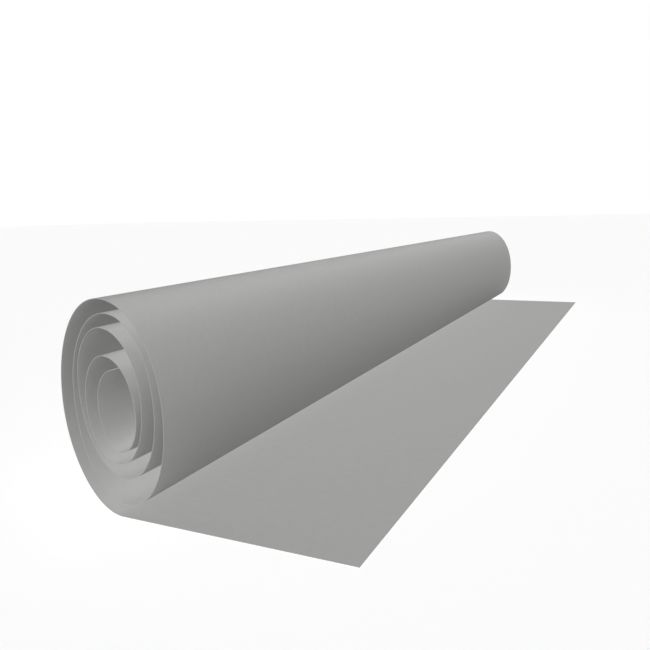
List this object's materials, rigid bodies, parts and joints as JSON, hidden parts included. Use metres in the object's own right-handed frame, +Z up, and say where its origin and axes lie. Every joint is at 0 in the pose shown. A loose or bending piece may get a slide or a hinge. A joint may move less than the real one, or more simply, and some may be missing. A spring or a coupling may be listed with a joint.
{
  "type": "backdrop paper roll",
  "caption": "Loose roll of plain grey backdrop paper lying on the floor: an open, leaning oval coil with no core, its outer end unrolled flat in front.",
  "frame": {"origin": "on the floor, midway along the roll and midway between the tail's free edge and the back of the roll", "axes": "+X along the roll, +Y from the flat tail to the back of the roll, +Z up"},
  "size_m": [2.72, 0.5106, 0.3457],
  "materials": {
    "backdrop_paper": "matte, uncoated"
  },
  "bodies": {
    "turn_1_back": {"turn_1_back_foot": "backdrop_paper", "turn_1_back_low": "backdrop_paper", "turn_1_back_high": "backdrop_paper", "turn_1_back_crown": "backdrop_paper"},
    "turn_1_front": {"turn_1_front_crown": "backdrop_paper", "turn_1_front_high": "backdrop_paper", "turn_1_front_low": "backdrop_paper", "turn_1_front_foot": "backdrop_paper"},
    "turn_2_back": {"turn_2_back_foot": "backdrop_paper", "turn_2_back_low": "backdrop_paper", "turn_2_back_high": "backdrop_paper", "turn_2_back_crown": "backdrop_paper"},
    "turn_2_front": {"turn_2_front_crown": "backdrop_paper", "turn_2_front_high": "backdrop_paper", "turn_2_front_low": "backdrop_paper", "turn_2_front_foot": "backdrop_paper"},
    "turn_3_back": {"turn_3_back_foot": "backdrop_paper", "turn_3_back_low": "backdrop_paper", "turn_3_back_high": "backdrop_paper", "turn_3_back_crown": "backdrop_paper"},
    "turn_3_front": {"turn_3_front_crown": "backdrop_paper", "turn_3_front_high": "backdrop_paper", "turn_3_front_low": "backdrop_paper", "turn_3_front_foot": "backdrop_paper"},
    "turn_4_back": {"turn_4_back_foot": "backdrop_paper", "turn_4_back_low": "backdrop_paper", "turn_4_back_high": "backdrop_paper", "turn_4_back_crown": "backdrop_paper"},
    "turn_4_front": {"turn_4_front_crown": "backdrop_paper", "turn_4_front_high": "backdrop_paper", "turn_4_front_low": "backdrop_paper", "turn_4_front_foot": "backdrop_paper"},
    "turn_5_back": {"turn_5_back_foot": "backdrop_paper", "turn_5_back_low": "backdrop_paper"},
    "inner_end": {"turn_5_back_high": "backdrop_paper", "turn_5_back_crown": "backdrop_paper"},
    "tail_strip_01": {"tail_strip_01": "backdrop_paper"},
    "tail_strip_02": {"tail_strip_02": "backdrop_paper"},
    "tail_strip_03": {"tail_strip_03": "backdrop_paper"},
    "tail_strip_04": {"tail_strip_04": "backdrop_paper"},
    "tail_strip_05": {"tail_strip_05": "backdrop_paper"},
    "tail_strip_06": {"tail_strip_06": "backdrop_paper"}
  },
  "joints": [
    {"name": "telescope_turn_1_front", "type": "slide", "parent": "turn_1_back", "child": "turn_1_front", "axis": [1, 0, 0], "range_m": [-0.015, 0.015]},
    {"name": "telescope_turn_2_back", "type": "slide", "parent": "turn_1_front", "child": "turn_2_back", "axis": [1, 0, 0], "range_m": [-0.015, 0.015]},
    {"name": "telescope_turn_2_front", "type": "slide", "parent": "turn_2_back", "child": "turn_2_front", "axis": [1, 0, 0], "range_m": [-0.015, 0.015]},
    {"name": "telescope_turn_3_back", "type": "slide", "parent": "turn_2_front", "child": "turn_3_back", "axis": [1, 0, 0], "range_m": [-0.015, 0.015]},
    {"name": "telescope_turn_3_front", "type": "slide", "parent": "turn_3_back", "child": "turn_3_front", "axis": [1, 0, 0], "range_m": [-0.015, 0.015]},
    {"name": "telescope_turn_4_back", "type": "slide", "parent": "turn_3_front", "child": "turn_4_back", "axis": [1, 0, 0], "range_m": [-0.015, 0.015]},
    {"name": "telescope_turn_4_front", "type": "slide", "parent": "turn_4_back", "child": "turn_4_front", "axis": [1, 0, 0], "range_m": [-0.015, 0.015]},
    {"name": "telescope_turn_5_back", "type": "slide", "parent": "turn_4_front", "child": "turn_5_back", "axis": [1, 0, 0], "range_m": [-0.015, 0.015]},
    {"name": "inner_end_curl", "type": "hinge", "parent": "turn_5_back", "child": "inner_end", "pos_m": [0, 0.18021, 0.18557], "axis": [1, 0, 0], "range_deg": [0, 15], "stiffness_Nm_per_rad": 2},
    {"name": "tail_bend_01", "type": "hinge", "parent": "turn_1_back", "child": "tail_strip_01", "pos_m": [0, 0.14669, 0.0008], "axis": [-1, 0, 0], "range_deg": [0, 26.05]},
    {"name": "tail_bend_02", "type": "hinge", "parent": "tail_strip_01", "child": "tail_strip_02", "pos_m": [0, 0.07969, 0.0008], "axis": [-1, 0, 0], "range_deg": [0, 34.55]},
    {"name": "tail_bend_03", "type": "hinge", "parent": "tail_strip_02", "child": "tail_strip_03", "pos_m": [0, 0.01269, 0.0008], "axis": [-1, 0, 0], "range_deg": [0, 19.58]},
    {"name": "tail_bend_04", "type": "hinge", "parent": "tail_strip_03", "child": "tail_strip_04", "pos_m": [0, -0.05431, 0.0008], "axis": [-1, 0, 0], "range_deg": [0, 14.05]},
    {"name": "tail_bend_05", "type": "hinge", "parent": "tail_strip_04", "child": "tail_strip_05", "pos_m": [0, -0.12131, 0.0008], "axis": [-1, 0, 0], "range_deg": [0, 12.03]},
    {"name": "tail_bend_06", "type": "hinge", "parent": "tail_strip_05", "child": "tail_strip_06", "pos_m": [0, -0.18831, 0.0008], "axis": [-1, 0, 0], "range_deg": [0, 16.45]}
  ],
  "couplings": [
    {"joint": "telescope_turn_2_back", "follows": "telescope_turn_1_front", "ratio": 1},
    {"joint": "telescope_turn_2_front", "follows": "telescope_turn_1_front", "ratio": 1},
    {"joint": "telescope_turn_3_back", "follows": "telescope_turn_1_front", "ratio": 1},
    {"joint": "telescope_turn_3_front", "follows": "telescope_turn_1_front", "ratio": 1},
    {"joint": "telescope_turn_4_back", "follows": "telescope_turn_1_front", "ratio": 1},
    {"joint": "telescope_turn_4_front", "follows": "telescope_turn_1_front", "ratio": 1},
    {"joint": "telescope_turn_5_back", "follows": "telescope_turn_1_front", "ratio": 1},
    {"joint": "tail_bend_02", "follows": "tail_bend_01", "ratio": 1.3258},
    {"joint": "tail_bend_03", "follows": "tail_bend_01", "ratio": 0.7512},
    {"joint": "tail_bend_04", "follows": "tail_bend_01", "ratio": 0.5388},
    {"joint": "tail_bend_05", "follows": "tail_bend_01", "ratio": 0.4615},
    {"joint": "tail_bend_06", "follows": "tail_bend_01", "ratio": 0.6311}
  ]
}
